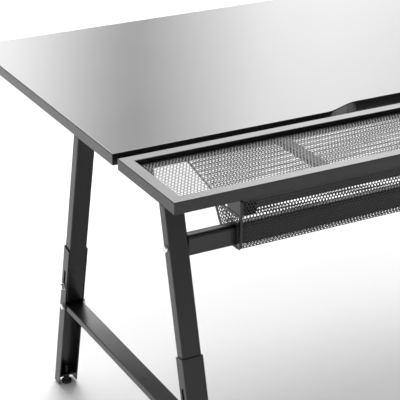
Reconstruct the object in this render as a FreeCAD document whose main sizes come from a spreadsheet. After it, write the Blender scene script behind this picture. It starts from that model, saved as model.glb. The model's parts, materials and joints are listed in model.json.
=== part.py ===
"""Computer desk on splayed telescopic legs, with a mesh shelf and a cable tray behind the board.

+X runs along the desk, +Y points to its rear (the mesh shelf), +Z is up. The origin is on the
floor, under the middle of the whole desk.
"""
import FreeCAD, Part
import math
import os
import re

# Sizes that can each be set by themselves, in millimetres and degrees.
SIZES = {
    "desk_length": 1600, "desk_depth": 1050, "desk_height": 700,
    "board_thick": 25, "board_round": 2, "shelf_depth": 240, "shelf_gap": 25,
    "recess_half": 224, "recess_deep": 28, "recess_run": 66, "recess_round": 70,
    "frame_tube": 25, "tube_wall": 1.5, "tube_round": 2,
    "mesh_thick": 1, "mesh_sunk": 9, "mesh_lip": 10, "mesh_play": 0.5,
    "strut_wide": 25, "strut_deep": 12, "strut_from_end": 350,
    "rail_from_front": 90, "cross_rail_back": 80, "cap_thick": 3,
    "leg_wide": 40, "leg_deep": 25, "leg_wall": 2, "leg_round": 3, "leg_lean": 13.7,
    "rear_leg_inset": 39, "front_leg_inset": 456, "leg_end_height": 250, "leg_top_spare": 5,
    "channel_wall": 2, "channel_play": 0.5, "channel_top": 388, "channel_base": 4,
    "lift_travel": 40, "height_bolt_level": 286,
    "bar_level": 232, "bar_thick": 16, "bar_wall": 2, "bar_play": 0.6, "bar_bolt_back": 17,
    "bolt_radius": 4, "bolt_play": 0.5, "bolt_head_across": 13, "bolt_head_thick": 5.3,
    "washer_radius": 8, "washer_thick": 1.6, "washer_play": 0.3, "nut_thick": 6.5,
    "insert_radius": 6, "insert_length": 14,
    "pad_radius": 12, "pad_thick": 8, "pad_round": 1.5, "collar_across": 13, "collar_thick": 6,
    "plate_level": 24, "plate_thick": 4, "plate_deep": 20,
    "stem_play": 0.05, "stem_top": 46,
    "beam_tall": 44, "beam_deep": 25, "beam_wall": 2, "beam_round": 9, "beam_below_top": 105,
    "plug_length": 22, "plug_gap": 4,
    "tray_inset": 140, "tray_near_gap": 4, "tray_sheet": 1, "tray_bottom_wide": 64,
    "tray_mouth_wide": 116, "tray_below_beam": 3, "tray_far_drop": 48,
    "block_long": 35, "block_deep": 50, "block_tall": 34, "tray_rail_deep": 15, "tray_rail_tall": 24,
    "clamp_wide": 30, "clamp_thick": 3, "beam_hole_play": 1,
    "screw_radius": 2.5, "screw_head_radius": 4.5, "screw_head_thick": 3, "screw_bite": 15,
    "screw_play": 0.25, "screw_from_end": 60, "stub_bite": 16,
}
STEEL_OVERRUN = 1.0     # how far a cutting solid passes the surface that it cuts
PARALLEL = 0.999        # least cosine between an edge and the axis that it runs along
LEVEL = 0.01            # most that a level edge may rise in its own direction


def worked_out(given):
    """Places that follow from the sizes."""
    lean = math.radians(given["leg_lean"])
    half_leg = given["leg_deep"] / 2
    top = given["desk_height"] - given["board_thick"]
    frame_top = top + given["frame_tube"]
    web_out = given["channel_play"] + given["channel_wall"]
    web_run = (given["channel_base"] - web_out * math.sin(lean)) / math.cos(lean)
    reach = web_out * math.cos(lean) - web_run * math.sin(lean)
    overhang = top * math.tan(lean) + reach - given["rear_leg_inset"]
    rear = (given["desk_depth"] - overhang) / 2
    shelf_front = rear - given["shelf_depth"]
    beam_level = given["desk_height"] - given["beam_below_top"]
    leg_shift = (top - beam_level) * math.tan(lean)
    beam_middle = rear - given["rear_leg_inset"] + leg_shift - half_leg / math.cos(lean)
    tray_base = beam_level - given["beam_tall"] / 2 - given["tray_below_beam"]
    tray_near = rear - given["tray_near_gap"]
    tray_top = given["desk_height"] - given["tray_far_drop"]
    tray_slope = (given["tray_mouth_wide"] - given["tray_bottom_wide"]) / (tray_top - tray_base)
    wing_slope = math.atan2(top - tray_top, tray_near - given["tray_mouth_wide"] - shelf_front
                            - given["frame_tube"])
    wing_run = given["tray_sheet"] / math.sin(wing_slope)
    rear_origin = rear - given["rear_leg_inset"] + top * math.tan(lean)
    front_origin = rear - given["front_leg_inset"] - top * math.tan(lean)
    plate_shift = given["plate_level"] * math.tan(lean) + half_leg / math.cos(lean)
    along = lambda level, back: (level + back * math.sin(lean)) / math.cos(lean)
    return {
        "under_board": top, "rear_edge": rear, "front_edge": rear - given["desk_depth"],
        "shelf_front": shelf_front, "board_rear": shelf_front - given["shelf_gap"],
        "leg_middle": given["desk_length"] / 2 - given["leg_wide"] / 2,
        "rear_leg_floor": rear_origin, "front_leg_floor": front_origin,
        "leg_end_run": along(given["leg_end_height"], half_leg),
        "leg_top_run": along(top, given["leg_deep"]) + given["leg_top_spare"],
        "channel_top_run": along(given["channel_top"], half_leg),
        "height_bolt_run": along(given["height_bolt_level"], half_leg),
        "bar_bolt_run": along(given["bar_level"], given["bar_bolt_back"]),
        "beam_bolt_run": along(beam_level, half_leg),
        "rear_foot_y": rear_origin - plate_shift, "front_foot_y": front_origin + plate_shift,
        "channel_half": given["leg_wide"] / 2 + web_out, "web_out": web_out,
        "beam_level": beam_level, "beam_middle": beam_middle,
        "tray_base": tray_base, "tray_near": tray_near, "tray_top": tray_top,
        "tray_slope": tray_slope, "wing_run": wing_run,
        "wing_front": shelf_front + given["frame_tube"] - wing_run,
        "frame_top": frame_top, "mesh_top": frame_top - given["mesh_sunk"],
        "strut_top": frame_top - given["mesh_sunk"] - given["mesh_thick"],
    }


doc = FreeCAD.newDocument("ComputerDesk")
sheet = doc.addObject("Spreadsheet::Sheet", "dims")
VALUE = dict(SIZES)
VALUE.update(worked_out(SIZES))
for row, (alias, number) in enumerate(VALUE.items(), start=1):
    sheet.set(f"A{row}", alias)
    sheet.set(f"B{row}", repr(float(number)))
    sheet.setAlias(f"B{row}", alias)
doc.recompute()

NODES = []
ALIAS = re.compile(r"\b(" + "|".join(sorted(VALUE, key=len, reverse=True)) + r")\b")


def bind(item, **rules):
    """Tie properties to the sheet: each rule is a formula in the sheet's words."""
    for prop, rule in rules.items():
        item.setExpression(prop.replace("__", "."), ALIAS.sub(r"dims.\1", str(rule)))


def at(item, x, y, z, turn=None):
    if turn is not None:
        item.Placement.Rotation = turn
    bind(item, Placement__Base__x=x, Placement__Base__y=y, Placement__Base__z=z)
    return item


def box(name, corner, size, turn=None):
    item = doc.addObject("Part::Box", name)
    bind(item, Length=size[0], Width=size[1], Height=size[2])
    return at(item, *corner, turn)


ALONG = {"x": FreeCAD.Rotation(FreeCAD.Vector(0, 1, 0), 90),
         "-x": FreeCAD.Rotation(FreeCAD.Vector(0, 1, 0), -90),
         "z": FreeCAD.Rotation()}


def rod(name, start, radius, length, way="z"):
    item = doc.addObject("Part::Cylinder", name)
    bind(item, Radius=radius, Height=length)
    return at(item, *start, ALONG[way])


def hexagon(name, start, across, length, way="z"):
    item = doc.addObject("Part::Prism", name)
    item.Polygon = 6
    bind(item, Circumradius=f"({across}) / sqrt(3)", Height=length)
    return at(item, *start, ALONG[way])


def wedge(name, low, high, y, z, turn=None):
    """A prism whose x range goes from low (at y[0]) to high (at y[1])."""
    item = doc.addObject("Part::Wedge", name)
    bind(item, Xmin=low[0], Xmax=low[1], X2min=high[0], X2max=high[1], Ymin=y[0], Ymax=y[1],
         Zmin=z[0], Zmax=z[1], Z2min=z[0], Z2max=z[1])
    if turn is not None:
        item.Placement.Rotation = turn
    return item


def fuse(name, *shapes):
    item = doc.addObject("Part::MultiFuse", name)
    item.Shapes = list(shapes)
    item.Refine = True
    return item


def cut(name, base, *tools):
    item = doc.addObject("Part::Cut", name)
    item.Base = base
    item.Tool = tools[0] if len(tools) == 1 else fuse(name + "_tools", *tools)
    return item


def rounded(name, base, radius, chosen):
    """Round the edges of base for which chosen(edge) is true."""
    doc.recompute()
    item = doc.addObject("Part::Fillet", name)
    item.Base = base
    item.Edges = [(i, radius, radius) for i, e in enumerate(base.Shape.Edges, 1) if chosen(e)]
    return item


def runs_along(axis, longer_than=0.0):
    def test(edge):
        straight = edge.Curve.TypeId == "Part::GeomLine"
        way = edge.tangentAt(edge.FirstParameter) if straight else FreeCAD.Vector()
        return straight and abs(getattr(way, axis)) > PARALLEL and edge.Length > longer_than
    return test


def node(name, item, place=None):
    """Finish a piece: its label names its file."""
    item.Label = name
    if place is not None:
        item.Placement = place
    NODES.append(item)
    return item


def group(name, items):
    """Like fasteners as one node of separate solids."""
    item = doc.addObject("Part::Compound", name)
    item.Links = items
    return node(name, item)


def tube(name, corner, size, wall, axis, radius):
    """A rounded rectangular tube along one axis, open at both ends."""
    slot = {"x": 0, "y": 1, "z": 2}[axis]
    solid = rounded(name + "_solid", box(name + "_blank", corner, size), radius, runs_along(axis))
    inner_corner = [f"{c} + {wall}" for c in corner]
    inner_size = [f"{s} - 2 * {wall}" for s in size]
    inner_corner[slot] = f"{corner[slot]} - {STEEL_OVERRUN}"
    inner_size[slot] = f"{size[slot]} + 2 * {STEEL_OVERRUN}"
    return cut(name, solid, box(name + "_bore", inner_corner, inner_size))


def turned_z(degrees):
    return FreeCAD.Rotation(FreeCAD.Vector(0, 0, 1), degrees)


# ---- board ------------------------------------------------------------------------------------
def tabletop():
    blank = box("board_blank", ("-desk_length / 2", "front_edge", "under_board"),
                ("desk_length", "board_rear - front_edge", "board_thick"))
    wide = f"recess_half + recess_run * (1 + {STEEL_OVERRUN} / recess_deep)"
    notch = wedge("board_notch", ("-recess_half", "recess_half"), (f"-({wide})", wide),
                  ("board_rear - recess_deep", f"board_rear + {STEEL_OVERRUN}"),
                  (f"under_board - {STEEL_OVERRUN}", f"desk_height + {STEEL_OVERRUN}"))
    notched = cut("board_notched", blank, notch)
    past_notch = VALUE["desk_length"] / 2 - STEEL_OVERRUN
    inside = lambda edge: runs_along("z")(edge) and abs(edge.CenterOfMass.x) < past_notch
    curved = rounded("board_curved", notched, VALUE["recess_round"], inside)
    flat = lambda edge: abs(edge.tangentAt(edge.FirstParameter).z) < LEVEL
    node("tabletop", rounded("board", curved, VALUE["board_round"], flat))


# ---- mesh shelf -------------------------------------------------------------------------------
def mitred_tube(name, start, end, outer, turn):
    """A frame tube standing on the rails, mitred at 45 degrees, long side at y = outer, then turned."""
    spin = turned_z(turn)
    body = wedge(name + "_blank", (f"{start} + frame_tube", f"{end} - frame_tube"), (start, end),
                 (f"{outer} - frame_tube", outer), ("under_board", "frame_top"), spin)
    body = rounded(name + "_solid", body, VALUE["tube_round"], runs_along("x" if turn % 180 == 0 else "y"))
    deep = f"frame_tube - tube_wall - {STEEL_OVERRUN}"
    near = f"tube_wall - {STEEL_OVERRUN}"
    bore = wedge(name + "_bore", (f"{start} + {deep}", f"{end} - ({deep})"),
                 (f"{start} + {near}", f"{end} - ({near})"),
                 (f"{outer} - frame_tube + tube_wall", f"{outer} - tube_wall"),
                 ("under_board + tube_wall", "frame_top - tube_wall"), spin)
    node(name, cut(name, body, bore))


def mesh_shelf():
    mitred_tube("shelf_frame_rear", "-desk_length / 2", "desk_length / 2", "rear_edge", 0)
    mitred_tube("shelf_frame_front", "-desk_length / 2", "desk_length / 2", "-shelf_front", 180)
    mitred_tube("shelf_frame_left", "shelf_front", "rear_edge", "desk_length / 2", 90)
    mitred_tube("shelf_frame_right", "-rear_edge", "-shelf_front", "desk_length / 2", -90)
    edge = "frame_tube + mesh_play"
    corner = (f"-desk_length / 2 + {edge}", f"shelf_front + {edge}")
    size = (f"desk_length - 2 * ({edge})", f"shelf_depth - 2 * ({edge})")
    sheet_metal = box("mesh_blank", (*corner, "mesh_top - mesh_lip"), (*size, "mesh_lip"))
    hollow = box("mesh_hollow", [f"{c} + mesh_thick" for c in corner] + ["mesh_top - mesh_lip - mesh_thick"],
                 [f"{s} - 2 * mesh_thick" for s in size] + ["mesh_lip"])
    node("shelf_mesh", cut("shelf_mesh", sheet_metal, hollow))
    for name, middle in (("left", "-desk_length / 2 + strut_from_end"), ("centre", "0"),
                         ("right", "desk_length / 2 - strut_from_end")):
        start = f"{middle} - strut_wide / 2"
        lip = "mesh_play + mesh_thick"
        bar = tube(f"strut_{name}", (start, "shelf_front + frame_tube", "strut_top - strut_deep"),
                   ("strut_wide", "shelf_depth - 2 * frame_tube", "strut_deep"), "tube_wall", "y",
                   VALUE["tube_wall"])
        ends = [box(f"strut_{name}_{end}", (f"{start} - {STEEL_OVERRUN}", place,
                                                 "mesh_top - mesh_lip - mesh_play"),
                    (f"strut_wide + 2 * {STEEL_OVERRUN}", f"{lip} + mesh_play",
                     f"mesh_lip + {STEEL_OVERRUN}"))
                for end, place in (("f", "shelf_front + frame_tube"),
                                   ("r", f"rear_edge - frame_tube - ({lip}) - mesh_play"))]
        node(f"shelf_strut_{name}", cut(f"strut_{name}_cut", bar, *ends))


# ---- rails under the board --------------------------------------------------------------------
RAIL_X = {"left": "-desk_length / 2 + leg_wide", "right": "desk_length / 2 - leg_wide - frame_tube"}
RAIL_START = "front_edge + rail_from_front"
RAIL_END = "shelf_front + frame_tube"
RAIL_FLOOR = "under_board - frame_tube"


def screw_places(low, high):
    """Three places along a rail, two near its ends and one at its middle."""
    return (f"{low} + screw_from_end", f"({low} + {high}) / 2", f"{high} - screw_from_end")


def board_rails():
    screws, caps = [], []
    for side, x in RAIL_X.items():
        middle = f"{x} + frame_tube / 2"
        rail = tube(f"{side}_rail_tube", (x, RAIL_START, RAIL_FLOOR),
                    ("frame_tube", f"{RAIL_END} - ({RAIL_START})", "frame_tube"),
                    "tube_wall", "y", VALUE["tube_round"])
        bores = []
        for i, y in enumerate(screw_places(f"({RAIL_START})", "(board_rear)")):
            bores.append(rod(f"{side}_rail_bore{i}", (middle, y, f"{RAIL_FLOOR} - {STEEL_OVERRUN}"),
                             "screw_radius + screw_play", f"frame_tube + 2 * {STEEL_OVERRUN}"))
            shank = rod(f"{side}_shank{i}", (middle, y, f"{RAIL_FLOOR}"), "screw_radius",
                        "frame_tube + screw_bite")
            head = rod(f"{side}_head{i}", (middle, y, f"{RAIL_FLOOR} - screw_head_thick"),
                       "screw_head_radius", "screw_head_thick")
            screws.append(fuse(f"{side}_screw{i}", shank, head))
        node(f"{side}_board_rail", cut(f"{side}_rail", rail, *bores))
        for end, y in (("front", f"{RAIL_START} - cap_thick"), ("back", RAIL_END)):
            caps.append(box(f"{side}_{end}_cap", (x, y, RAIL_FLOOR),
                            ("frame_tube", "cap_thick", "frame_tube")))
    group("board_screws", screws)
    group("rail_end_caps", caps)
    inner = f"{RAIL_X['left']} + frame_tube"
    span = f"{RAIL_X['right']} - ({inner})"
    for end, y in (("front", f"{RAIL_START} + cross_rail_back"),
                   ("rear", "board_rear - recess_deep - 2 * frame_tube")):
        node(f"{end}_cross_rail", tube(f"{end}_cross", (inner, y, RAIL_FLOOR),
                                       (span, "frame_tube", "frame_tube"), "tube_wall", "x",
                                       VALUE["tube_round"]))


# ---- legs -------------------------------------------------------------------------------------
def leg_place(side, end):
    """Place of a leg's own frame: x across, y outwards from its outer face, z up along the leg."""
    lean = FreeCAD.Rotation(FreeCAD.Vector(1, 0, 0), VALUE["leg_lean"])
    spin = turned_z(0 if end == "rear" else 180)
    x = VALUE["leg_middle"] * (-1 if side == "left" else 1)
    return FreeCAD.Placement(FreeCAD.Vector(x, VALUE[f"{end}_leg_floor"], 0), spin.multiply(lean))


def level_cut(name, level, above):
    """In a leg's own frame, the half space above or below a level of the whole desk."""
    lean = FreeCAD.Rotation(FreeCAD.Vector(1, 0, 0), -VALUE["leg_lean"])
    item = doc.addObject("Part::Box", name)
    side = VALUE["desk_height"]
    item.Length, item.Width, item.Height = side, side, side
    corner = FreeCAD.Vector(-side / 2, -side / 2, VALUE[level] if above else VALUE[level] - side)
    item.Placement = FreeCAD.Placement(lean.multVec(corner), lean)
    return item


def upper_leg(side, end, outward):
    name = f"{end}_{side}_upper_leg"
    blank = tube(name + "_tube", ("-leg_wide / 2", "-leg_deep", "leg_end_run"),
                 ("leg_wide", "leg_deep", "leg_top_run - leg_end_run"), "leg_wall", "z", VALUE["leg_round"])
    tools = [level_cut(name + "_top", "under_board", True),
             rod(name + "_hole",
                 (f"{outward} * (leg_wide / 2 + {STEEL_OVERRUN})", "-leg_deep / 2", "height_bolt_run"),
                 "insert_radius", f"leg_wall + 2 * {STEEL_OVERRUN}", "-x" if outward > 0 else "x")]
    if end == "rear":
        tools.append(rod(name + "_beam_hole", ("-leg_wide", "-leg_deep / 2", "beam_bolt_run"),
                         "bolt_radius + screw_play", "2 * leg_wide", "x"))
    node(name, cut(name, blank, *tools), leg_place(side, end))


def channel(side, end, outward):
    name = f"{end}_{side}_channel"
    blank = box(name + "_blank", ("-channel_half", "-leg_deep", "-leg_wide"),
                ("2 * channel_half", "leg_deep + web_out", "channel_top_run + leg_wide"))
    web_edges = lambda edge: runs_along("z")(edge) and edge.CenterOfMass.y > 0
    solid = rounded(name + "_solid", blank, VALUE["web_out"], web_edges)
    room = box(name + "_room", ("-leg_wide / 2 - channel_play", f"-leg_deep - {STEEL_OVERRUN}",
                                f"-leg_wide - {STEEL_OVERRUN}"),
               ("leg_wide + 2 * channel_play", f"leg_deep + channel_play + {STEEL_OVERRUN}",
                f"channel_top_run + leg_wide + 2 * {STEEL_OVERRUN}"))
    start = f"{outward} * (channel_half + {STEEL_OVERRUN})"
    through = f"channel_wall + 2 * {STEEL_OVERRUN}"
    way = "-x" if outward > 0 else "x"
    slot_ends = [rod(f"{name}_slot{i}", (start, "-leg_deep / 2", f"height_bolt_run + {i} * lift_travel"),
                     "bolt_radius + bolt_play", through, way) for i in (0, 1)]
    left = "channel_half - channel_wall" if outward > 0 else "-channel_half"
    slot = box(name + "_slot", (f"{left} - {STEEL_OVERRUN}", "-leg_deep / 2 - bolt_radius - bolt_play",
                                "height_bolt_run"),
               (through, "2 * (bolt_radius + bolt_play)", "lift_travel"))
    hole = rod(name + "_bar_hole", (f"-channel_half - {STEEL_OVERRUN}", "-bar_bolt_back", "bar_bolt_run"),
               "bolt_radius", f"2 * channel_half + 2 * {STEEL_OVERRUN}", "x")
    base = level_cut(name + "_base", "channel_base", False)
    node(name, cut(name, solid, room, *slot_ends, slot, hole, base), leg_place(side, end))


def height_bolt(side, end, outward):
    """Bolt and washer through the channel's slot into the insert in the upper leg."""
    name = f"{end}_{side}_height"
    way = "x" if outward > 0 else "-x"
    face = "channel_half + washer_play"
    spot = lambda x: (f"{outward} * ({x})", "-leg_deep / 2", "height_bolt_run")
    shank = rod(name + "_shank", spot("leg_wide / 2 - leg_wall - insert_length"), "bolt_radius",
                f"leg_wall + insert_length + channel_half - leg_wide / 2 + washer_play + washer_thick", way)
    head = hexagon(name + "_head", spot(f"{face} + washer_thick"), "bolt_head_across", "bolt_head_thick",
                   way)
    bolt = fuse(name + "_bolt", shank, head)
    washer = cut(name + "_washer", rod(name + "_disc", spot(face), "washer_radius", "washer_thick", way),
                 rod(name + "_eye", spot(f"{face} - {STEEL_OVERRUN}"), "bolt_radius",
                     f"washer_thick + 2 * {STEEL_OVERRUN}", way))
    inner = "leg_wide / 2 - leg_wall - insert_length"
    insert = cut(name + "_insert",
                 rod(name + "_sleeve", spot(inner), "insert_radius", "leg_wall + insert_length", way),
                 rod(name + "_thread", spot(f"{inner} - {STEEL_OVERRUN}"), "bolt_radius",
                     f"leg_wall + insert_length + 2 * {STEEL_OVERRUN}", way))
    for item in (bolt, washer, insert):
        item.Placement = leg_place(side, end)
    return bolt, washer, insert


def bar_bolt(side, end, outward):
    """Bolt and nut through the channel and the slotted end of the foot bar."""
    name = f"{end}_{side}_bar_bolt"
    way, back = ("x", "-x") if outward > 0 else ("-x", "x")
    spot = lambda x: (f"{outward} * ({x})", "-bar_bolt_back", "bar_bolt_run")
    shank = rod(name + "_shank", spot("-channel_half - nut_thick"), "bolt_radius",
                "2 * channel_half + nut_thick", way)
    head = hexagon(name + "_head", spot("channel_half"), "bolt_head_across", "bolt_head_thick", way)
    node(name, fuse(name, shank, head), leg_place(side, end))
    nut = cut(name + "_nut",
              hexagon(name + "_hex", spot("-channel_half"), "bolt_head_across", "nut_thick", back),
              rod(name + "_bore", spot(f"-channel_half + {STEEL_OVERRUN}"), "bolt_radius",
                  f"nut_thick + 2 * {STEEL_OVERRUN}", back))
    node(f"{end}_{side}_bar_nut", nut, leg_place(side, end))


def foot(side, end):
    """Bracket plate with its weld nut, and the levelling foot that screws into it."""
    name = f"{end}_{side}"
    x, y = ("-" if side == "left" else "") + "leg_middle", f"{end}_foot_y"
    under = "plate_level - plate_thick / 2 - nut_thick"
    hole = rod(name + "_plate_bore", (x, y, f"{under} - {STEEL_OVERRUN}"), "bolt_radius + stem_play",
               f"plate_thick + nut_thick + 2 * {STEEL_OVERRUN}")
    plate = box(name + "_plate_blank", (f"{x} - leg_wide / 2 - channel_play", f"{y} - plate_deep / 2",
                                        "plate_level - plate_thick / 2"),
                ("leg_wide + 2 * channel_play", "plate_deep", "plate_thick"))
    nut = hexagon(name + "_weld_nut", (x, y, under), "bolt_head_across", "nut_thick")
    node(name + "_foot_plate", cut(name + "_foot_plate", fuse(name + "_plate_solid", plate, nut), hole))
    stem = rod(name + "_stem", (x, y, "pad_thick + collar_thick"), "bolt_radius",
               "stem_top - pad_thick - collar_thick")
    node(name + "_foot_stem", stem)
    disc = rod(name + "_disc", (x, y, "0"), "pad_radius", "pad_thick")
    soft = rounded(name + "_disc_soft", disc, VALUE["pad_round"], lambda edge: edge.Closed)
    collar = hexagon(name + "_collar", (x, y, f"pad_thick - {STEEL_OVERRUN}"), "collar_across",
                     f"collar_thick + {STEEL_OVERRUN}")
    node(name + "_foot_pad", fuse(name + "_foot_pad", soft, collar))


def foot_bar(side):
    """Flat tube joining the two channels of a side. Its slotted ends let the channels part as they slide."""
    name = f"{side}_foot_bar"
    x = ("-" if side == "left" else "") + "leg_middle"
    bar = tube(name + "_tube", (f"{x} - leg_wide / 2", "front_leg_floor", "bar_level - bar_thick / 2"),
               ("leg_wide", "rear_leg_floor - front_leg_floor", "bar_thick"), "bar_wall", "y",
               VALUE["bar_wall"])
    lean = math.radians(VALUE["leg_lean"])
    part_by = VALUE["lift_travel"] * math.sin(lean)
    tools = []
    for end, sign in (("rear", 1), ("front", -1)):
        place = leg_place(side, end)
        limit = doc.addObject("Part::Box", f"{name}_{end}_limit")
        limit.Length = limit.Width = limit.Height = VALUE["desk_height"]
        limit.Placement = place.multiply(FreeCAD.Placement(
            FreeCAD.Vector(-VALUE["desk_height"] / 2, VALUE["channel_play"] - VALUE["bar_play"], 0),
            FreeCAD.Rotation()))
        bolt = place.multVec(FreeCAD.Vector(0, -VALUE["bar_bolt_back"], VALUE["bar_bolt_run"]))
        for i, shift in enumerate((0, sign * part_by)):
            tools.append(rod(f"{name}_{end}_round{i}",
                             (f"{x} - leg_wide", f"{bolt.y + shift!r}", "bar_level"),
                             "bolt_radius + bolt_play", "2 * leg_wide", "x"))
        tools.append(box(f"{name}_{end}_slot",
                         (f"{x} - leg_wide", f"{min(bolt.y, bolt.y + sign * part_by)!r}",
                          "bar_level - bolt_radius - bolt_play"),
                         ("2 * leg_wide", f"{part_by!r}", "2 * (bolt_radius + bolt_play)")))
        tools.append(limit)
    node(name, cut(name, bar, *tools))


def legs():
    bolts, washers, inserts = [], [], []
    for side in ("left", "right"):
        for end in ("rear", "front"):
            outward = (1 if side == "right" else -1) * (1 if end == "rear" else -1)
            upper_leg(side, end, outward)
            channel(side, end, outward)
            bolt, washer, insert = height_bolt(side, end, outward)
            bolts.append(bolt)
            washers.append(washer)
            inserts.append(insert)
            bar_bolt(side, end, outward)
            foot(side, end)
        foot_bar(side)
    group("height_bolts", bolts)
    group("height_washers", washers)
    group("height_inserts", inserts)


# ---- rear beam --------------------------------------------------------------------------------
def rear_beam():
    low_y, low_z = "beam_middle - beam_deep / 2", "beam_level - beam_tall / 2"
    half = "(desk_length / 2 - leg_wide)"
    node("rear_beam", tube("rear_beam", (f"-{half}", low_y, low_z),
                           (f"2 * {half}", "beam_deep", "beam_tall"), "beam_wall", "x",
                           VALUE["beam_round"]))
    plugs, bolts = [], []
    for name, sign, way in (("left", -1, "-x"), ("right", 1, "x")):
        start = f"-{half}" if sign < 0 else f"{half} - plug_length"
        block = box(f"beam_{name}_plug_blank",
                    (start, f"{low_y} + beam_wall + plug_gap", f"{low_z} + beam_wall"),
                    ("plug_length", "beam_deep - 2 * (beam_wall + plug_gap)", "beam_tall - 2 * beam_wall"))
        spot = lambda x: (f"{sign} * ({x})", "beam_middle", "beam_level")
        bore = rod(f"beam_{name}_bore", spot(f"{half} + {STEEL_OVERRUN}"), "bolt_radius",
                   f"plug_length + 2 * {STEEL_OVERRUN}",
                   "x" if sign < 0 else "-x")
        plugs.append(cut(f"beam_{name}_plug", block, bore))
        shank = rod(f"beam_{name}_shank", spot(f"{half} - stub_bite"), "bolt_radius",
                    "leg_wide + stub_bite", way)
        head = hexagon(f"beam_{name}_head", spot("desk_length / 2"), "bolt_head_across",
                       "bolt_head_thick", way)
        bolts.append(fuse(f"beam_{name}_bolt", shank, head))
    group("beam_end_plugs", plugs)
    group("beam_bolts", bolts)


# ---- cable tray -------------------------------------------------------------------------------
UPRIGHT = FreeCAD.Rotation(FreeCAD.Vector(1, 1, 1), 120)    # x to Y, y to Z, z to X


def tray_section(name, inset, low, high, x_low, x_high):
    """The tray's outline moved in by inset, between two levels and two ends."""
    lean = "sqrt(1 + tray_slope * tray_slope)"
    far = lambda z: f"tray_near - tray_bottom_wide - tray_slope * ({z} - tray_base) + {inset} * {lean}"
    return wedge(name, (far(low), f"tray_near - {inset}"), (far(high), f"tray_near - {inset}"),
                 (low, high), (x_low, x_high), UPRIGHT)


def tray_wing(half):
    """Sloping wing from the tray's front wall up to a lip under the shelf's front tube."""
    low = "tray_near - tray_mouth_wide"
    wing = wedge("tray_wing", (low, f"{low} + wing_run"), ("wing_front", "wing_front + wing_run"),
                 ("tray_top - tray_sheet", "under_board"), (f"-{half}", half), UPRIGHT)
    lip = box("tray_lip", (f"-{half}", "shelf_front + tube_round", "under_board - tray_sheet"),
              (f"2 * {half}", "frame_tube - tube_round", "tray_sheet"))
    return wing, lip


def cable_tray():
    half = "(desk_length / 2 - tray_inset)"
    past = f"(tray_top + {STEEL_OVERRUN})"
    outer = tray_section("tray_outer", "0", "tray_base", "tray_top", f"-{half}", half)
    inner = tray_section("tray_inner", "tray_sheet", "(tray_base + tray_sheet)", past,
                         f"-{half} - {STEEL_OVERRUN}", f"{half} + {STEEL_OVERRUN}")
    lug = box("tray_lug", (f"-{half}", "tray_near - tray_sheet", f"tray_top - {STEEL_OVERRUN}"),
              (f"2 * {half}", "tray_sheet", f"under_board - tray_top + {STEEL_OVERRUN}"))
    node("tray_trough", fuse("tray_trough", cut("tray_bend", outer, inner), lug, *tray_wing(half)))
    hole = "beam_hole_play"
    for name, low in (("left", f"-{half}"), ("right", f"{half} - tray_sheet")):
        panel = tray_section(f"tray_{name}_blank", "tray_sheet", "(tray_base + tray_sheet)",
                             "(under_board - block_tall)", low, f"{low} + tray_sheet")
        window = box(f"tray_{name}_window",
                     (f"{low} - {STEEL_OVERRUN}", f"beam_middle - beam_deep / 2 - {hole}",
                      f"beam_level - beam_tall / 2 - {hole}"),
                     (f"tray_sheet + 2 * {STEEL_OVERRUN}", f"beam_deep + 2 * {hole}",
                      f"beam_tall + 2 * {hole}"))
        node(f"tray_end_{name}", cut(f"tray_end_{name}", panel, window))
    back = "tray_near - tray_sheet"
    for name, low in (("left", f"-{half}"), ("right", f"{half} - block_long")):
        node(f"tray_block_{name}",
             tube(f"tray_block_{name}", (low, f"{back} - block_deep", "under_board - block_tall"),
                  ("block_long", "block_deep", "block_tall"), "tube_wall", "y", VALUE["tube_wall"]))
    node("tray_rail", tube("tray_rail", (f"-{half} + block_long", f"{back} - tray_rail_deep",
                                         "under_board - tray_rail_tall"),
                           (f"2 * ({half} - block_long)", "tray_rail_deep", "tray_rail_tall"),
                           "tube_wall", "x", VALUE["tube_wall"]))
    for name, middle in (("left", "-desk_length / 2 + strut_from_end"), ("centre", "0"),
                         ("right", "desk_length / 2 - strut_from_end")):
        node(f"tray_clamp_{name}",
             box(f"tray_clamp_{name}", (f"{middle} - clamp_wide / 2", "shelf_front + tube_round",
                                        "under_board - tray_sheet - clamp_thick"),
                 ("clamp_wide", "wing_front - shelf_front - tube_round", "clamp_thick")))


def check_and_write():
    doc.recompute()
    faults = [o.Name for o in doc.Objects if "Invalid" in o.State or "Error" in o.State]
    if faults:
        raise RuntimeError("failed objects: " + ", ".join(faults))
    os.makedirs("parts", exist_ok=True)
    for item in NODES:
        if item.Shape.isNull() or not item.Shape.isValid() or not item.Shape.Solids:
            raise RuntimeError("bad shape: " + item.Label)
        item.Shape.exportStep(f"parts/{item.Label}.step")
    print(len(NODES), "nodes written")


tabletop()
mesh_shelf()
board_rails()
legs()
rear_beam()
cable_tray()
check_and_write()
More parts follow.
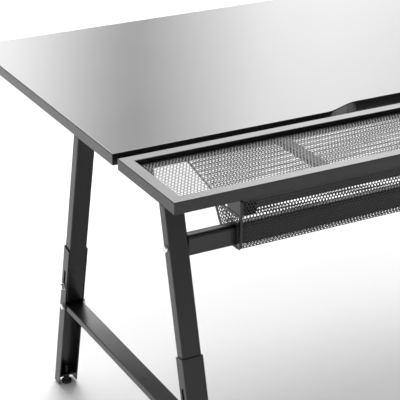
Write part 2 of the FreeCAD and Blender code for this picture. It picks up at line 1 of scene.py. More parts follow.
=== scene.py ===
"""Looks of the computer desk: powder-coated tube frame, laminate board, perforated shelf and tray."""
import json
import math
import bmesh
import bpy
import numpy as np
from bpy.props import FloatProperty, FloatVectorProperty, IntProperty, PointerProperty
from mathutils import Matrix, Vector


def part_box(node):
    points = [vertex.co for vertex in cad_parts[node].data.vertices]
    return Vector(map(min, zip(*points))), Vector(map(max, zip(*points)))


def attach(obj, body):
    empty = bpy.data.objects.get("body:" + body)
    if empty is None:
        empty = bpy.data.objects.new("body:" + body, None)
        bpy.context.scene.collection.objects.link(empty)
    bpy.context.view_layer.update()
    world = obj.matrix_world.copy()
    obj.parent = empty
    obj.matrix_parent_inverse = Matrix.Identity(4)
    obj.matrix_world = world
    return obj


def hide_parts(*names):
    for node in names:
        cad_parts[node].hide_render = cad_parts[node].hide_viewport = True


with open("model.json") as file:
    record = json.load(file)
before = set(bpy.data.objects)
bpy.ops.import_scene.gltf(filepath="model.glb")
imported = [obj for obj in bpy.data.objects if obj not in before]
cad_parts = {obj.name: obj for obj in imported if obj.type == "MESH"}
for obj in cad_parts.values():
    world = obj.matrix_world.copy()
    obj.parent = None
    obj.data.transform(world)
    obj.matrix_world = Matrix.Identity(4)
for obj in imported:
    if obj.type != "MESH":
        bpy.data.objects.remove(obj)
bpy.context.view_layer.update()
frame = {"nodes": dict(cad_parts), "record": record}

bl_info = {
    "name": "Computer desk looks",
    "version": (1, 0, 0),
    "blender": (4, 5, 0),
    "location": "3D Viewport > Sidebar > Desk",
    "description": "Makes the perforated sheet, fasteners, feet, finishes and studio of a computer desk",
    "category": "Object",
}

MM = 0.001
ROOT = "desk_frame"
SIDES = ("left", "right")
ENDS = ("rear", "front")


def corners(node):
    """Lowest and highest corner of a CAD node, as arrays."""
    low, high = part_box(node)
    return np.array(low, float), np.array(high, float)


SHELF_LOW, SHELF_HIGH = corners("shelf_mesh")
TRAY_LOW, TRAY_HIGH = corners("tray_trough")
FRONT_TUBE_HIGH = corners("shelf_frame_front")[1]
REAR_TUBE_HIGH = corners("shelf_frame_rear")[1]
BEAM_LOW, BEAM_HIGH = corners("rear_beam")


# ---- sizes and colours that a user would change -------------------------------------------------
class DeskSheetMetal(bpy.types.PropertyGroup):
    """Perforated sheet of the shelf and the cable tray."""
    pitch: FloatProperty(name="Hole pitch", description="Distance between holes along a row",
                         default=7.2 * MM, min=4 * MM, unit="LENGTH")
    hole: FloatProperty(name="Hole radius", description="Radius of each hole",
                        default=2.95 * MM, min=1 * MM, unit="LENGTH")
    shelf_thick: FloatProperty(name="Shelf thickness", description="Sheet thickness of the shelf",
                               default=0.6 * MM, unit="LENGTH")
    tray_thick: FloatProperty(name="Tray thickness", description="Sheet thickness of the tray",
                              default=0.8 * MM, unit="LENGTH")
    bend: FloatProperty(name="Bend radius", description="Radius of the tray's two long bends",
                        default=9 * MM, unit="LENGTH")
    band: FloatProperty(name="Plain band", description="Width of the unperforated border",
                        default=5 * MM, unit="LENGTH")


class DeskFinish(bpy.types.PropertyGroup):
    """Colours and gloss of the finishes."""
    board: FloatVectorProperty(name="Board", description="Colour of the laminate", subtype="COLOR",
                               default=(0.012, 0.0117, 0.0114), size=3, min=0, max=1)
    board_rough: FloatProperty(name="Board roughness", description="Roughness of the laminate",
                               default=0.12, subtype="FACTOR", min=0, max=1)
    coat: FloatVectorProperty(name="Powder coat", description="Colour of the tube frame", subtype="COLOR",
                              default=(0.009, 0.0086, 0.008), size=3, min=0, max=1)
    coat_rough: FloatProperty(name="Coat roughness", description="Roughness of the powder coat",
                              default=0.30, subtype="FACTOR", min=0, max=1)
    sheet: FloatVectorProperty(name="Sheet coat", description="Colour of the perforated sheet",
                               subtype="COLOR", default=(0.006, 0.006, 0.0062), size=3, min=0, max=1)
    edge_round: FloatProperty(name="Edge softness", description="Radius that edges are shaded with",
                              default=1.1 * MM, unit="LENGTH")


class DeskStudio(bpy.types.PropertyGroup):
    """Camera and lights."""
    lens: FloatProperty(name="Lens", description="Focal length", default=127.7, unit="CAMERA")
    beyond_end: FloatProperty(name="Beyond the end", description="Camera's distance past the desk's end",
                              default=1.058, unit="LENGTH")
    behind_rear: FloatProperty(name="Behind the rear edge", description="Camera's distance behind the desk",
                               default=2.076, unit="LENGTH")
    above_top: FloatProperty(name="Above the top", description="Camera's height over the board",
                             default=1.042, unit="LENGTH")
    heading: FloatProperty(name="Heading", description="Camera's turn about the vertical",
                           default=math.radians(151.856), subtype="ANGLE")
    tilt: FloatProperty(name="Tilt", description="Camera's tilt from straight down",
                        default=math.radians(66.03), subtype="ANGLE")
    sky: FloatProperty(name="Sky", description="Strength of the white surroundings", default=0.35)
    window: FloatProperty(name="Window", description="Strength of the low window", default=6.0)
    round_sides: IntProperty(name="Sides", description="Sides of round pieces", default=48, min=12)


# ---- surfaces -----------------------------------------------------------------------------------
def grid_faces(rows, columns, close_rows=False, close_columns=False):
    """Quads that join a grid of rows by columns points, optionally closed either way."""
    i = np.arange(rows if close_rows else rows - 1)
    j = np.arange(columns if close_columns else columns - 1)
    i, j = np.meshgrid(i, j, indexing="ij")
    i, j = i.ravel(), j.ravel()
    i2, j2 = (i + 1) % rows, (j + 1) % columns
    return np.stack([i * columns + j, i2 * columns + j, i2 * columns + j2, i * columns + j2], axis=1)


def piece(name, points, faces, finish, body, stands_for=(), crease=30):
    """A mesh object of the given points and faces that rides on a body and takes a finish."""
    mesh = bpy.data.meshes.new(name)
    mesh.from_pydata(points.tolist(), [], [list(f) for f in faces])
    work = bmesh.new()
    work.from_mesh(mesh)
    bmesh.ops.remove_doubles(work, verts=work.verts, dist=1e-7)
    bmesh.ops.recalc_face_normals(work, faces=work.faces)
    work.to_mesh(mesh)
    work.free()
    mesh.polygons.foreach_set("use_smooth", np.ones(len(mesh.polygons), dtype=bool))
    mesh.set_sharp_from_angle(angle=math.radians(crease))
    made = bpy.data.objects.new(name, mesh)
    bpy.context.scene.collection.objects.link(made)
    mesh.materials.append(FINISHES[finish]())
    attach(made, body)
    if stands_for:
        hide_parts(*stands_for)
    return made


def joined(parts):
    """Several (points, faces) pairs as one."""
    points, faces, start = [], [], 0
    for p, f in parts:
        points.append(p)
        faces.extend([k + start for k in face] for face in f)
        start += len(p)
    return np.concatenate(points), faces


HOLE_SIDES = 8
ROW_STEP = math.sqrt(3) / 2


def perforated(centres, pitch, hole, thick, place):
    """A plate of bricks, each with a round hole, as a closed shell.

    A brick is pitch wide and ROW_STEP of the pitch tall, and its eight border points lie at its
    corners and mid-sides, so that rows shifted by half a brick share their points. place(u, v, w)
    carries a point of the flat plate, w above its middle, to the desk."""
    half = np.array([pitch / 2, pitch * ROW_STEP / 2])
    border = np.array([(1, 0), (1, 1), (0, 1), (-1, 1), (-1, 0), (-1, -1), (0, -1), (1, -1)]) * half
    turn = np.arange(HOLE_SIDES) * 2 * math.pi / HOLE_SIDES
    rim = np.stack([np.cos(turn), np.sin(turn)], axis=1) * hole
    outer = (centres[:, None, :] + border).reshape(-1, 2)
    inner = (centres[:, None, :] + rim).reshape(-1, 2)
    _, first, merged = np.unique(np.round(outer / 1e-6).astype(np.int64), axis=0, return_index=True,
                                 return_inverse=True)
    flat = np.concatenate([outer[first], inner])
    merged = merged.reshape(-1, HOLE_SIDES)
    inside = len(first) + np.arange(len(inner)).reshape(-1, HOLE_SIDES)
    after, inside_after = np.roll(merged, -1, axis=1), np.roll(inside, -1, axis=1)
    top = np.stack([merged, after, inside_after, inside], axis=2).reshape(-1, 4)
    start, end = top.ravel(), np.roll(top, -1, axis=1).ravel()
    count = len(flat)
    lone = ~np.isin(start * count + end, end * count + start)
    start, end = start[lone], end[lone]
    walls = np.stack([end, start, start + count, end + count], axis=1)
    above = place(flat[:, 0], flat[:, 1], np.full(count, thick / 2))
    below = place(flat[:, 0], flat[:, 1], np.full(count, -thick / 2))
    return np.concatenate([above, below]), np.concatenate([top, top[:, ::-1] + count, walls]).tolist()


def brick_centres(low, high, pitch):
    """Centres of bricks that fill the rectangle from low to high, every other row shifted."""
    rows = int((high[1] - low[1]) / (pitch * ROW_STEP))
    columns = int((high[0] - low[0]) / pitch) - 1
    spare = ((high[0] - low[0]) - (columns + 0.5) * pitch) / 2
    rise = ((high[1] - low[1]) - rows * pitch * ROW_STEP) / 2
    j, i = np.meshgrid(np.arange(rows), np.arange(columns), indexing="ij")
    u = low[0] + spare + (i + 0.5 + 0.5 * (j % 2)) * pitch
    v = low[1] + rise + (j + 0.5) * pitch * ROW_STEP
    return np.stack([u.ravel(), v.ravel()], axis=1)


def turned(profile, centre, way, sides):
    """A profile turned about an axis, given as a signed letter.

    profile is a list of (radius, height), each a number or a function of the angle."""
    turn = np.arange(sides) * 2 * math.pi / sides
    radius = np.stack([r(turn) if callable(r) else np.full(sides, r) for r, _ in profile])
    height = np.stack([z(turn) if callable(z) else np.full(sides, z) for _, z in profile])
    sign = -1 if way[0] == "-" else 1
    main = "xyz".index(way[-1])
    others = [(main + 1) % 3, (main + 2) % 3]
    out = np.empty((len(profile), sides, 3))
    out[..., others[0]] = radius * np.cos(turn)
    out[..., others[1]] = radius * np.sin(turn)
    out[..., main] = sign * height
    points = out.reshape(-1, 3) + np.asarray(centre, float)
    faces = grid_faces(len(profile), sides, close_columns=True).tolist()
    last = (len(profile) - 1) * sides
    faces.append(list(range(sides))[::-1])
    faces.append([last + k for k in range(sides)])
    return points, faces


def hexagon(across):
    """Radius of a hexagon, as a function of the angle, from its distance across flats."""
    step = math.pi / 3
    return lambda turn: across / 2 / np.cos((turn + step / 2) % step - step / 2)


def hex_head(across, thick, centre, way, sides):
    """A bolt head: hexagon with its corners chamfered at 30 degrees and a shallow dish on top."""
    hexed = hexagon(across)
    face = 0.47 * across
    drop = lambda turn: thick - (hexed(turn) - face) * math.tan(math.radians(30))
    return turned([(face, 0), (hexed, 0.15 * MM), (hexed, drop), (face, thick), (0.32 * across, thick),
                   (0.28 * across, thick - 0.35 * MM), (0.5 * MM, thick - 0.35 * MM)], centre, way, sides)


# ---- finishes -----------------------------------------------------------------------------------
def new_finish(name):
    """An empty material with its output and shader, and a helper that adds nodes."""
    made = bpy.data.materials.new(name)
    made.use_nodes = True
    tree = made.node_tree
    shader = tree.nodes["Principled BSDF"]

    def add(kind, inputs=None, **settings):
        node = tree.nodes.new(kind)
        for key, value in settings.items():
            setattr(node, key, value)
        for key, value in (inputs or {}).items():
            if isinstance(value, bpy.types.NodeSocket):
                tree.links.new(value, node.inputs[key])
            else:
                node.inputs[key].default_value = value
        return node
    return made, tree, shader, add


def softened(tree, shader, add, grains, edge):
    """Bump of several grain sizes on normals that are rounded at the edges.

    grains is a list of (noise scale, detail, strength, depth)."""
    place = add("ShaderNodeTexCoord").outputs["Object"]
    normal = add("ShaderNodeBevel", {"Radius": edge}, samples=6).outputs["Normal"]
    for scale, detail, strength, depth in grains:
        noise = add("ShaderNodeTexNoise", {"Vector": place, "Scale": scale, "Detail": detail,
                                           "Roughness": 0.6})
        normal = add("ShaderNodeBump", {"Height": noise.outputs["Fac"], "Strength": strength,
                                        "Distance": depth, "Normal": normal}).outputs["Normal"]
    tree.links.new(normal, shader.inputs["Normal"])
    return place


def cloudy(tree, shader, add, place, socket, scale, low, high):
    """A value or colour that drifts slowly between low and high over the surface."""
    noise = add("ShaderNodeTexNoise", {"Vector": place, "Scale": scale, "Detail": 4.0})
    ramp = add("ShaderNodeValToRGB", {"Fac": noise.outputs["Fac"]})
    for stop, tint, at in zip(ramp.color_ramp.elements, (low, high), (0.35, 0.65)):
        stop.color = (*tint, 1) if isinstance(tint, (tuple, list)) else (tint, tint, tint, 1)
        stop.position = at
    tree.links.new(ramp.outputs["Color"], shader.inputs[socket])


def shade(tint, factor):
    return tuple(min(1.0, c * factor) for c in tint)


def kept(make):
    """The finish is made once and then reused."""
    store = []

    def get():
        if not store:
            store.append(make())
        return store[0]
    return get


def board_laminate():
    """Satin black melamine: a fine pebble, with slow drifts in colour and gloss."""
    looks = bpy.context.scene.desk_finish
    made, tree, shader, add = new_finish("board_laminate")
    place = softened(tree, shader, add, [(1400, 2, 0.05, 0.00005), (5200, 1, 0.03, 0.00003)],
                     looks.edge_round * 1.6)
    cloudy(tree, shader, add, place, "Base Color", 5, shade(looks.board, 0.92), shade(looks.board, 1.08))
    cloudy(tree, shader, add, place, "Roughness", 3, looks.board_rough - 0.02, looks.board_rough + 0.02)
    shader.inputs["IOR"].default_value = 1.5
    return made


def powder_coat(name, tint, rough, grain):
    """Satin powder coat: orange peel over a fine grain, with slow drifts in colour and gloss."""
    looks = bpy.context.scene.desk_finish
    made, tree, shader, add = new_finish(name)
    place = softened(tree, shader, add, [(420, 3, 0.10 * grain, 0.00012), (2600, 2, 0.16 * grain, 0.00005)],
                     looks.edge_round)
    cloudy(tree, shader, add, place, "Base Color", 9, shade(tint, 0.90), shade(tint, 1.10))
    cloudy(tree, shader, add, place, "Roughness", 14, rough - 0.03, rough + 0.03)
    shader.inputs["IOR"].default_value = 1.45
    return made


def frame_coat():
    looks = bpy.context.scene.desk_finish
    return powder_coat("frame_coat", looks.coat, looks.coat_rough, 1.0)


def mesh_coat():
    looks = bpy.context.scene.desk_finish
    return powder_coat("mesh_coat", looks.sheet, 0.34, 0.7)


def bracket_coat():
    looks = bpy.context.scene.desk_finish
    return powder_coat("bracket_coat", shade(looks.coat, 0.8), 0.42, 1.2)


def zinc():
    """Bright zinc plating with faint blue and straw patches and fine scratches."""
    made, tree, shader, add = new_finish("zinc")
    place = softened(tree, shader, add, [(900, 3, 0.08, 0.00006)], 0.25 * MM)
    cloudy(tree, shader, add, place, "Base Color", 160, (0.66, 0.69, 0.73), (0.84, 0.83, 0.79))
    cloudy(tree, shader, add, place, "Roughness", 220, 0.20, 0.34)
    shader.inputs["Metallic"].default_value = 1.0
    return made


def black_plastic():
    """Moulded plastic with a fine spark-eroded grain."""
    made, tree, shader, add = new_finish("black_plastic")
    place = softened(tree, shader, add, [(3200, 2, 0.25, 0.00006)], 0.4 * MM)
    cloudy(tree, shader, add, place, "Base Color", 40, (0.016, 0.016, 0.016), (0.024, 0.024, 0.024))
    cloudy(tree, shader, add, place, "Roughness", 60, 0.48, 0.58)
    return made


def studio_floor():
    made, tree, shader, add = new_finish("studio_floor")
    shader.inputs["Base Color"].default_value = (0.93, 0.93, 0.93, 1)
    shader.inputs["Roughness"].default_value = 0.9
    shader.inputs["Specular IOR Level"].default_value = 0.0
    return made


FINISHES = {make.__name__: kept(make) for make in
            (board_laminate, frame_coat, mesh_coat, bracket_coat, zinc, black_plastic)}


# ---- pieces -------------------------------------------------------------------------------------
class DESK_OT_finishes(bpy.types.Operator):
    """Give every CAD node the finish of its material slot"""
    bl_idname = "desk.finishes"
    bl_label = "Finish the CAD nodes"

    def execute(self, context):
        for row in frame["record"]["subparts"]:
            node = frame["nodes"][row["node"]]
            node.data.materials.clear()
            node.data.materials.append(FINISHES[row["material_slot"]]())
        return {"FINISHED"}


class DESK_OT_shelf(bpy.types.Operator):
    """Make the perforated shelf: two fields of holes and a folded hem round them"""
    bl_idname = "desk.shelf"
    bl_label = "Perforated shelf"

    def execute(self, context):
        sizes = context.scene.desk_sheet
        thick, band = sizes.shelf_thick, sizes.band
        level = SHELF_HIGH[2] - thick / 2
        low, high = SHELF_LOW[:2] + band / 2, SHELF_HIGH[:2] - band / 2
        centres = brick_centres(low, high, sizes.pitch)
        flat = lambda u, v, w: np.stack([u, v, level + w], axis=1)
        for name, part in (("left", centres[:, 0] < 0), ("right", centres[:, 0] >= 0)):
            points, faces = perforated(centres[part], sizes.pitch, sizes.hole, thick, flat)
            piece(f"shelf_mesh_{name}", points, faces, "mesh_coat", ROOT, ["shelf_mesh"], crease=50)
        self.hem(sizes)
        return {"FINISHED"}

    def hem(self, sizes):
        """The hem's section, from its inner edge over a rounded fold down to the lip, goes round
        the shelf's rectangle with mitred corners."""
        wrap, fold, fold_steps = 0.25 * MM, 2.4 * MM, 6
        top = SHELF_HIGH[2]
        turn = np.linspace(math.pi / 2, 0, fold_steps)
        outside = np.stack([fold * np.cos(turn) - fold, fold * np.sin(turn) - fold], axis=1)
        inner = fold - sizes.shelf_thick - wrap
        inside = np.stack([inner * np.cos(turn[::-1]) - fold, inner * np.sin(turn[::-1]) - fold], axis=1)
        lip = SHELF_HIGH[2] - SHELF_LOW[2]
        outline = np.concatenate([[(-sizes.band, 0)], outside, [(0, -lip)],
                                  [(-sizes.shelf_thick - wrap, -lip)], inside,
                                  [(-sizes.band, -sizes.shelf_thick - wrap)]])
        middle = (SHELF_LOW + SHELF_HIGH) / 2
        half = (SHELF_HIGH - SHELF_LOW) / 2
        rows = []
        for sx, sy in ((1, 1), (-1, 1), (-1, -1), (1, -1)):
            rows.append(np.stack([middle[0] + sx * (half[0] + outline[:, 0]),
                                  middle[1] + sy * (half[1] + outline[:, 0]), top + outline[:, 1]], axis=1))
        faces = grid_faces(4, len(outline), close_rows=True, close_columns=True)
        piece("shelf_mesh_hem", np.concatenate(rows), faces, "mesh_coat", ROOT, ["shelf_mesh"])


FLOOR_DEEP = 64 * MM
MOUTH_DEEP = 116 * MM
MOUTH_DROP = 49 * MM
LIP_DROP = 1 * MM
WING_CLEAR = 4 * MM
BEND_STEPS = 9
SECTION_STEPS = 160
BAND_PROUD = 0.15 * MM
TRAY_BASE = TRAY_LOW[2]
TRAY_BOTTOM_FAR = TRAY_HIGH[1] - FLOOR_DEEP
MOUTH = np.array([TRAY_HIGH[1] - MOUTH_DEEP, REAR_TUBE_HIGH[2] - MOUTH_DROP])


def tray_path(bend):
    """The tray's section from the top of its rear wall, down, under the beam, up the slope and
    along the wing to the lip. The corners are arcs of one radius, joined by straight runs.

    Returns a function that gives (y, z) at a distance along the path and a distance outside it,
    and the path's length."""
    lip_level = TRAY_HIGH[2] - LIP_DROP
    knots = np.array([(TRAY_HIGH[1], TRAY_HIGH[2]), (TRAY_HIGH[1], TRAY_BASE),
                      (TRAY_BOTTOM_FAR, TRAY_BASE), MOUTH,
                      (FRONT_TUBE_HIGH[1] - WING_CLEAR, lip_level), (TRAY_LOW[1], lip_level)])
    ways = np.diff(knots, axis=0)
    ways /= np.linalg.norm(ways, axis=1)[:, None]
    points = [knots[0]]
    for knot, before, after in zip(knots[1:-1], ways[:-1], ways[1:]):
        side = math.copysign(1, before[0] * after[1] - before[1] * after[0])
        turn = math.acos(float(np.clip(before @ after, -1, 1)))
        start = knot - before * bend * math.tan(turn / 2)
        centre = start + side * bend * np.array([-before[1], before[0]])
        angles = side * np.linspace(0, turn, BEND_STEPS)
        y, z = start - centre
        points.extend(centre + np.stack([y * np.cos(angles) - z * np.sin(angles),
                                         y * np.sin(angles) + z * np.cos(angles)], axis=1))
    points.append(knots[-1])
    points = np.array(points)
    run = np.concatenate([[0], np.cumsum(np.linalg.norm(np.diff(points, axis=0), axis=1))])
    tangent = np.gradient(points, run, axis=0)

    def at(v, w):
        y, z = np.interp(v, run, points[:, 0]), np.interp(v, run, points[:, 1])
        ty, tz = np.interp(v, run, tangent[:, 0]), np.interp(v, run, tangent[:, 1])
        size = np.hypot(ty, tz)
        return y - tz / size * w, z + ty / size * w
    return at, run[-1]


class DESK_OT_tray(bpy.types.Operator):
    """Make the cable tray's trough from one bent perforated sheet with plain bands at its ends"""
    bl_idname = "desk.tray"
    bl_label = "Cable tray"

    def execute(self, context):
        sizes = context.scene.desk_sheet
        thick, band = sizes.tray_thick, sizes.band
        at, length = tray_path(sizes.bend)

        def bent(u, v, w):
            y, z = at(v, w - thick / 2)
            return np.stack([u, y, z], axis=1)
        low = np.array([TRAY_LOW[0] + band / 2, band / 2])
        high = np.array([TRAY_HIGH[0] - band / 2, length - band / 2])
        centres = brick_centres(low, high, sizes.pitch)
        for name, part in (("left", centres[:, 0] < 0), ("right", centres[:, 0] >= 0)):
            points, faces = perforated(centres[part], sizes.pitch, sizes.hole, thick, bent)
            piece(f"tray_trough_{name}", points, faces, "mesh_coat", ROOT, ["tray_trough"], crease=50)
        bands = [self.band_along(bent, TRAY_LOW[0], TRAY_LOW[0] + band, length, thick),
                 self.band_along(bent, TRAY_HIGH[0] - band, TRAY_HIGH[0], length, thick),
                 self.band_across(bent, 0, band, thick),
                 self.band_across(bent, length - band, length, thick)]
        piece("tray_trough_bands", *joined(bands), "mesh_coat", ROOT, ["tray_trough"])
        return {"FINISHED"}

    def band_along(self, bent, start, end, length, thick):
        """A plain strip that follows the whole section at one end of the tray."""
        v = np.linspace(0, length, SECTION_STEPS)
        half = thick / 2 + BAND_PROUD
        ring = [bent(np.full(len(v), u), v, np.full(len(v), w))
                for u, w in ((start, -half), (end, -half), (end, half), (start, half))]
        points = np.stack(ring, axis=1)
        faces = grid_faces(len(v), 4, close_columns=True).tolist()
        last = (len(v) - 1) * 4
        return points.reshape(-1, 3), faces + [[3, 2, 1, 0], [last, last + 1, last + 2, last + 3]]

    def band_across(self, bent, start, end, thick):
        """A plain strip along one long edge of the tray."""
        half = thick / 2 + BAND_PROUD
        corners_here = [(start, -half), (end, -half), (end, half), (start, half)]
        v, w = np.array(corners_here).T
        rows = [bent(np.full(4, x), v, w) for x in (TRAY_LOW[0], TRAY_HIGH[0])]
        faces = grid_faces(2, 4, close_columns=True).tolist()
        return np.concatenate(rows), faces + [[3, 2, 1, 0], [4, 5, 6, 7]]


def shrunk(outline, by):
    """A convex outline, given anticlockwise, with each side moved in by a distance."""
    ahead = np.roll(outline, -1, axis=0) - outline
    ahead /= np.linalg.norm(ahead, axis=1)[:, None]
    inward = np.stack([-ahead[:, 1], ahead[:, 0]], axis=1)
    back = np.roll(inward, 1, axis=0)
    turn = 1 + np.sum(inward * back, axis=1)
    return outline + (inward + back) / turn[:, None] * by


def within(outline, spots, margin):
    """Which spots are inside a convex outline by at least a margin."""
    ahead = np.roll(outline, -1, axis=0) - outline
    ahead /= np.linalg.norm(ahead, axis=1)[:, None]
    inward = np.stack([-ahead[:, 1], ahead[:, 0]], axis=1)
    depth = np.einsum("skd,kd->sk", spots[:, None, :] - outline[None], inward)
    return np.all(depth >= margin, axis=1)


def outline_band(outline, by, low, high):
    """A flat ring between an outline in (y, z) and its shrunk copy, from x = low to x = high."""
    rings = [(outline, low), (outline, high), (shrunk(outline, by), high), (shrunk(outline, by), low)]
    placed = [np.concatenate([np.full((len(ring), 1), x), ring], axis=1) for ring, x in rings]
    faces = grid_faces(len(outline), 4, close_rows=True, close_columns=True)
    return np.stack(placed, axis=1).reshape(-1, 3), faces.tolist()


END_BORDER = 5 * MM
END_INSET = 2.4 * MM
COLLAR = 3 * MM
COLLAR_GAP = 1 * MM
BORDER_MARGIN = 2.6 * MM
COLLAR_MARGIN = 2.2 * MM


class DESK_OT_tray_ends(bpy.types.Operator):
    """Make the tray's perforated end panels, each with a border and a collar round the beam"""
    bl_idname = "desk.tray_ends"
    bl_label = "Tray end panels"

    def execute(self, context):
        sizes = context.scene.desk_sheet
        for side in SIDES:
            low, high = corners(f"tray_end_{side}")
            slope = (MOUTH[1] - TRAY_BASE) / (TRAY_BOTTOM_FAR - MOUTH[0])
            bottom = high[1] - (FLOOR_DEEP - END_INSET)
            outline = np.array([(bottom, low[2]), (high[1], low[2]), (high[1], high[2]),
                                (bottom - (high[2] - low[2]) / slope, high[2])])
            hole = np.array([(BEAM_LOW[1], BEAM_LOW[2]), (BEAM_HIGH[1], BEAM_LOW[2]),
                             (BEAM_HIGH[1], BEAM_HIGH[2]), (BEAM_LOW[1], BEAM_HIGH[2])])
            hole = shrunk(hole, -COLLAR_GAP)
            spots = brick_centres(outline.min(axis=0), outline.max(axis=0), sizes.pitch)
            keep = within(outline, spots, BORDER_MARGIN) & ~within(hole, spots, -COLLAR_MARGIN)
            middle = (low[0] + high[0]) / 2
            upright = lambda u, v, w: np.stack([middle + w, u, v], axis=1)
            field = perforated(spots[keep], sizes.pitch, sizes.hole, sizes.tray_thick, upright)
            half = sizes.tray_thick / 2 + BAND_PROUD
            collar_outer = shrunk(hole, -COLLAR)
            parts = [field, outline_band(outline, END_BORDER, middle - half, middle + half),
                     outline_band(collar_outer, COLLAR, middle - half, middle + half)]
            node = f"tray_end_{side}"
            piece(node + "_mesh", *joined(parts), "mesh_coat", ROOT, [node], crease=50)
        return {"FINISHED"}


def clusters(node):
    """Boxes of a CAD group node's points in each quarter of the plan, as (low, high) arrays."""
    mesh = frame["nodes"][node].data
    spots = np.empty(len(mesh.vertices) * 3)
    mesh.vertices.foreach_get("co", spots)
    spots = spots.reshape(-1, 3)
    middle = (spots[:, 1].min() + spots[:, 1].max()) / 2
    split_y = np.ptp(spots[:, 1]) > 0.1
    boxes = []
    for sx in (-1, 1):
        for sy in ((-1, 1) if split_y else (0,)):
            part = spots[(spots[:, 0] * sx > 0) & ((spots[:, 1] - middle) * sy >= 0)]
            boxes.append((part.min(axis=0), part.max(axis=0)))
    return boxes


HEAD_ACROSS, HEAD_THICK, NUT_THICK, SHANK = 13 * MM, 5.3 * MM, 6.5 * MM, 4 * MM


def bolt(low, high, outward, sides):
    """A hex bolt that fills a box along x, its head at the outward end."""
    centre = (np.asarray(low) + np.asarray(high)) / 2
    tip, face = (low[0], high[0]) if outward > 0 else (high[0], low[0])
    seat = face - outward * HEAD_THICK
    way = "x" if outward > 0 else "-x"
    head = hex_head(HEAD_ACROSS, HEAD_THICK, (seat, *centre[1:]), way, sides)
    run = abs(seat - tip)
    profile = [(SHANK * 0.8, 0), (SHANK, 0.8 * MM), (SHANK, run)]
    shank = turned(profile, (tip, *centre[1:]), way, sides // 2)
    return joined([head, shank])


class DESK_OT_fasteners(bpy.types.Operator):
    """Make the bright bolts and nuts with chamfered hexagons"""
    bl_idname = "desk.fasteners"
    bl_label = "Bolts and nuts"

    def execute(self, context):
        sides = context.scene.desk_studio.round_sides
        for node in ("height_bolts", "beam_bolts"):
            made = [bolt(low, high, math.copysign(1, low[0] + high[0]), sides)
                    for low, high in clusters(node)]
            piece(node + "_hex", *joined(made), "zinc", ROOT, [node], crease=25)
        for side, outward in (("left", -1), ("right", 1)):
            for end in ENDS:
                body = f"{end}_{side}_lower_leg"
                name = f"{end}_{side}_bar_bolt"
                piece(name + "_hex", *bolt(*corners(name), outward, sides), "zinc", body, [name], crease=25)
                name = f"{end}_{side}_bar_nut"
                low, high = corners(name)
                centre = (low + high) / 2
                start = (high[0] if outward > 0 else low[0], *centre[1:])
                nut = hex_head(HEAD_ACROSS, NUT_THICK, start, "-x" if outward > 0 else "x", sides)
                piece(name + "_hex", *nut, "zinc", body, [name], crease=25)
        return {"FINISHED"}


class DESK_OT_feet(bpy.types.Operator):
    """Make the levelling feet: a ribbed grip on a soft round sole"""
    bl_idname = "desk.feet"
    bl_label = "Levelling feet"

    def execute(self, context):
        sides = context.scene.desk_studio.round_sides * 2
        ribs = 16
        for side in SIDES:
            for end in ENDS:
                name = f"{end}_{side}_foot_pad"
                low, high = corners(name)
                centre = ((low + high) / 2)[:2]
                wide, tall = (high[0] - low[0]) / 2, high[2] - low[2]
                grip = lambda turn: wide - 0.5 * MM + 0.5 * MM * np.cos(ribs * turn)
                profile = [(wide * 0.80, 0), (wide * 0.92, 0.4 * MM), (wide * 0.96, 1.6 * MM),
                           (wide * 0.90, 2.2 * MM), (grip, 2.9 * MM), (grip, tall * 0.50),
                           (wide * 0.86, tall * 0.57), (hexagon(12.6 * MM), tall * 0.60),
                           (hexagon(12.6 * MM), tall - 0.6 * MM), (6.0 * MM, tall), (2 * MM, tall)]
                made = turned(profile, (*centre, low[2]), "z", sides)
                piece(name + "_moulded", *made, "black_plastic", f"{end}_{side}_levelling_foot", [name])
        return {"FINISHED"}


# The low window: its light at each heading, in degrees from +Y towards +X, and at each elevation.
# The two levels are multiplied with each other and with the window's strength.
HEADINGS = ((-345, 0.0), (-200, 0.0), (-172, 0.85), (-160, 1.0), (-155, 0.27), (-149, 0.86), (-146, 0.90),
            (-140, 0.72), (-118, 0.25), (-95, 0.0), (-5, 0.0))
RISES = ((0, 0.30), (14, 0.58), (18, 0.70), (22, 0.85), (26, 0.95), (31, 1.5), (37, 2.6), (45, 2.2),
         (60, 0.0))
LIT_SPOT = np.array([0.3, 0, 0.7])


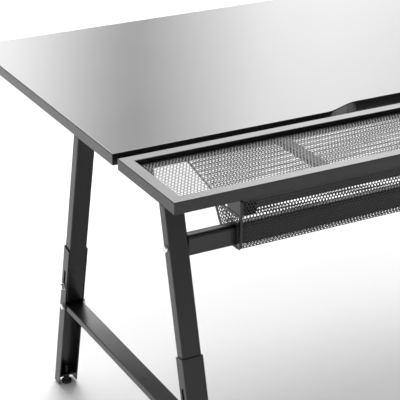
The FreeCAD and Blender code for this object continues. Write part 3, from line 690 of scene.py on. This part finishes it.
class DESK_OT_stage(bpy.types.Operator):
    """Make the floor, the soft lights and the camera"""
    bl_idname = "desk.stage"
    bl_label = "Studio"

    def execute(self, context):
        scene, looks = context.scene, context.scene.desk_studio
        scene.view_settings.view_transform = "Standard"
        self.camera(scene, looks)
        self.floor(scene)
        self.lights(scene)
        self.sky(scene, looks)
        return {"FINISHED"}

    def camera(self, scene, looks):
        lens = bpy.data.cameras.new("studio_camera")
        lens.lens, lens.sensor_width, lens.clip_end = looks.lens, 36, 50
        eye = bpy.data.objects.new("studio_camera", lens)
        eye.location = (REAR_TUBE_HIGH[0] + looks.beyond_end, REAR_TUBE_HIGH[1] + looks.behind_rear,
                        REAR_TUBE_HIGH[2] + looks.above_top)
        eye.rotation_euler = (looks.tilt, 0, looks.heading)
        scene.collection.objects.link(eye)
        scene.camera = eye

    def floor(self, scene):
        half = 14.0
        square = np.array([(-half, -half, 0), (half, -half, 0), (half, half, 0), (-half, half, 0)])
        mesh = bpy.data.meshes.new("studio_floor")
        mesh.from_pydata(square.tolist(), [], [(0, 1, 2, 3)])
        mesh.materials.append(studio_floor())
        ground = bpy.data.objects.new("studio_floor", mesh)
        scene.collection.objects.link(ground)

    def sky(self, scene, looks):
        """White surroundings with one wide low window, whose light varies along it.

        The window's brightness is a curve of heading times a curve of elevation."""
        world = bpy.data.worlds.new("studio_sky")
        world.use_nodes = True
        tree = world.node_tree
        out = tree.nodes["Background"]
        way = tree.nodes.new("ShaderNodeTexCoord").outputs["Generated"]
        parts = tree.nodes.new("ShaderNodeSeparateXYZ")
        tree.links.new(way, parts.inputs[0])

        def maths(kind, a, b):
            node = tree.nodes.new("ShaderNodeMath")
            node.operation = kind
            for slot, value in enumerate((a, b)):
                if isinstance(value, bpy.types.NodeSocket):
                    tree.links.new(value, node.inputs[slot])
                else:
                    node.inputs[slot].default_value = value
            return node.outputs[0]

        def curve(value, knots):
            node = tree.nodes.new("ShaderNodeValToRGB")
            stops = node.color_ramp.elements
            while len(stops) < len(knots):
                stops.new(1.0)
            for stop, (place, level) in zip(stops, knots):
                stop.position, stop.color = place, (level, level, level, 1)
            tree.links.new(value, node.inputs["Fac"])
            return node.outputs["Color"]
        heading = maths("DIVIDE", maths("ARCTAN2", parts.outputs["X"], parts.outputs["Y"]), 2 * math.pi)
        heading = maths("FRACT", maths("ADD", heading, 1.0), 0.0)
        turn = curve(heading, [((360 + degrees) / 360, level) for degrees, level in HEADINGS])
        knots = [(math.sin(math.radians(degrees)), level) for degrees, level in RISES]
        rise = curve(parts.outputs["Z"], knots)
        window = maths("MULTIPLY", maths("MULTIPLY", turn, rise), looks.window)
        tree.links.new(maths("ADD", window, looks.sky), out.inputs["Strength"])
        out.inputs["Color"].default_value = (1, 1, 1, 1)
        scene.world = world

    def lights(self, scene):
        """Soft boxes: each is (name, heading, elevation, distance, width, height, power)."""
        boxes = [("overhead", 0, 88, 4.0, 4.0, 4.0, 66), ("side", 100, 35, 4.0, 2.5, 2.5, 1)]
        for name, heading, rise, far, wide, tall, power in boxes:
            lamp = bpy.data.lights.new("soft_box_" + name, "AREA")
            lamp.shape, lamp.size, lamp.size_y, lamp.energy = "RECTANGLE", wide, tall, power
            made = bpy.data.objects.new("soft_box_" + name, lamp)
            heading, rise = math.radians(heading), math.radians(rise)
            flat = math.cos(rise)
            way = np.array([math.sin(heading) * flat, math.cos(heading) * flat, math.sin(rise)])
            made.location = way * far + LIT_SPOT
            made.rotation_euler = (math.pi / 2 - rise, 0, math.pi - heading)
            scene.collection.objects.link(made)


class DESK_PT_panel(bpy.types.Panel):
    """The desk's sizes, finishes and steps"""
    bl_label = "Computer desk"
    bl_idname = "DESK_PT_panel"
    bl_space_type = "VIEW_3D"
    bl_region_type = "UI"
    bl_category = "Desk"

    def draw(self, context):
        for group in (context.scene.desk_sheet, context.scene.desk_finish, context.scene.desk_studio):
            box = self.layout.box()
            for key in group.bl_rna.properties.keys():
                if key not in ("rna_type", "name"):
                    box.prop(group, key)
        for step in STEPS:
            self.layout.operator(step.bl_idname)


GROUPS = {"desk_sheet": DeskSheetMetal, "desk_finish": DeskFinish, "desk_studio": DeskStudio}
STEPS = (DESK_OT_stage, DESK_OT_finishes, DESK_OT_shelf, DESK_OT_tray, DESK_OT_tray_ends,
         DESK_OT_fasteners, DESK_OT_feet)


def register():
    for made in (*GROUPS.values(), *STEPS, DESK_PT_panel):
        bpy.utils.register_class(made)
    for key, made in GROUPS.items():
        setattr(bpy.types.Scene, key, PointerProperty(type=made))


def unregister():
    for key in GROUPS:
        delattr(bpy.types.Scene, key)
    for made in reversed((*GROUPS.values(), *STEPS, DESK_PT_panel)):
        bpy.utils.unregister_class(made)


def main():
    """Run every step in order."""
    register()
    for step in STEPS:
        group, name = step.bl_idname.split(".")
        getattr(getattr(bpy.ops, group), name)()
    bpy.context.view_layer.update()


if __name__ == "__main__":
    main()
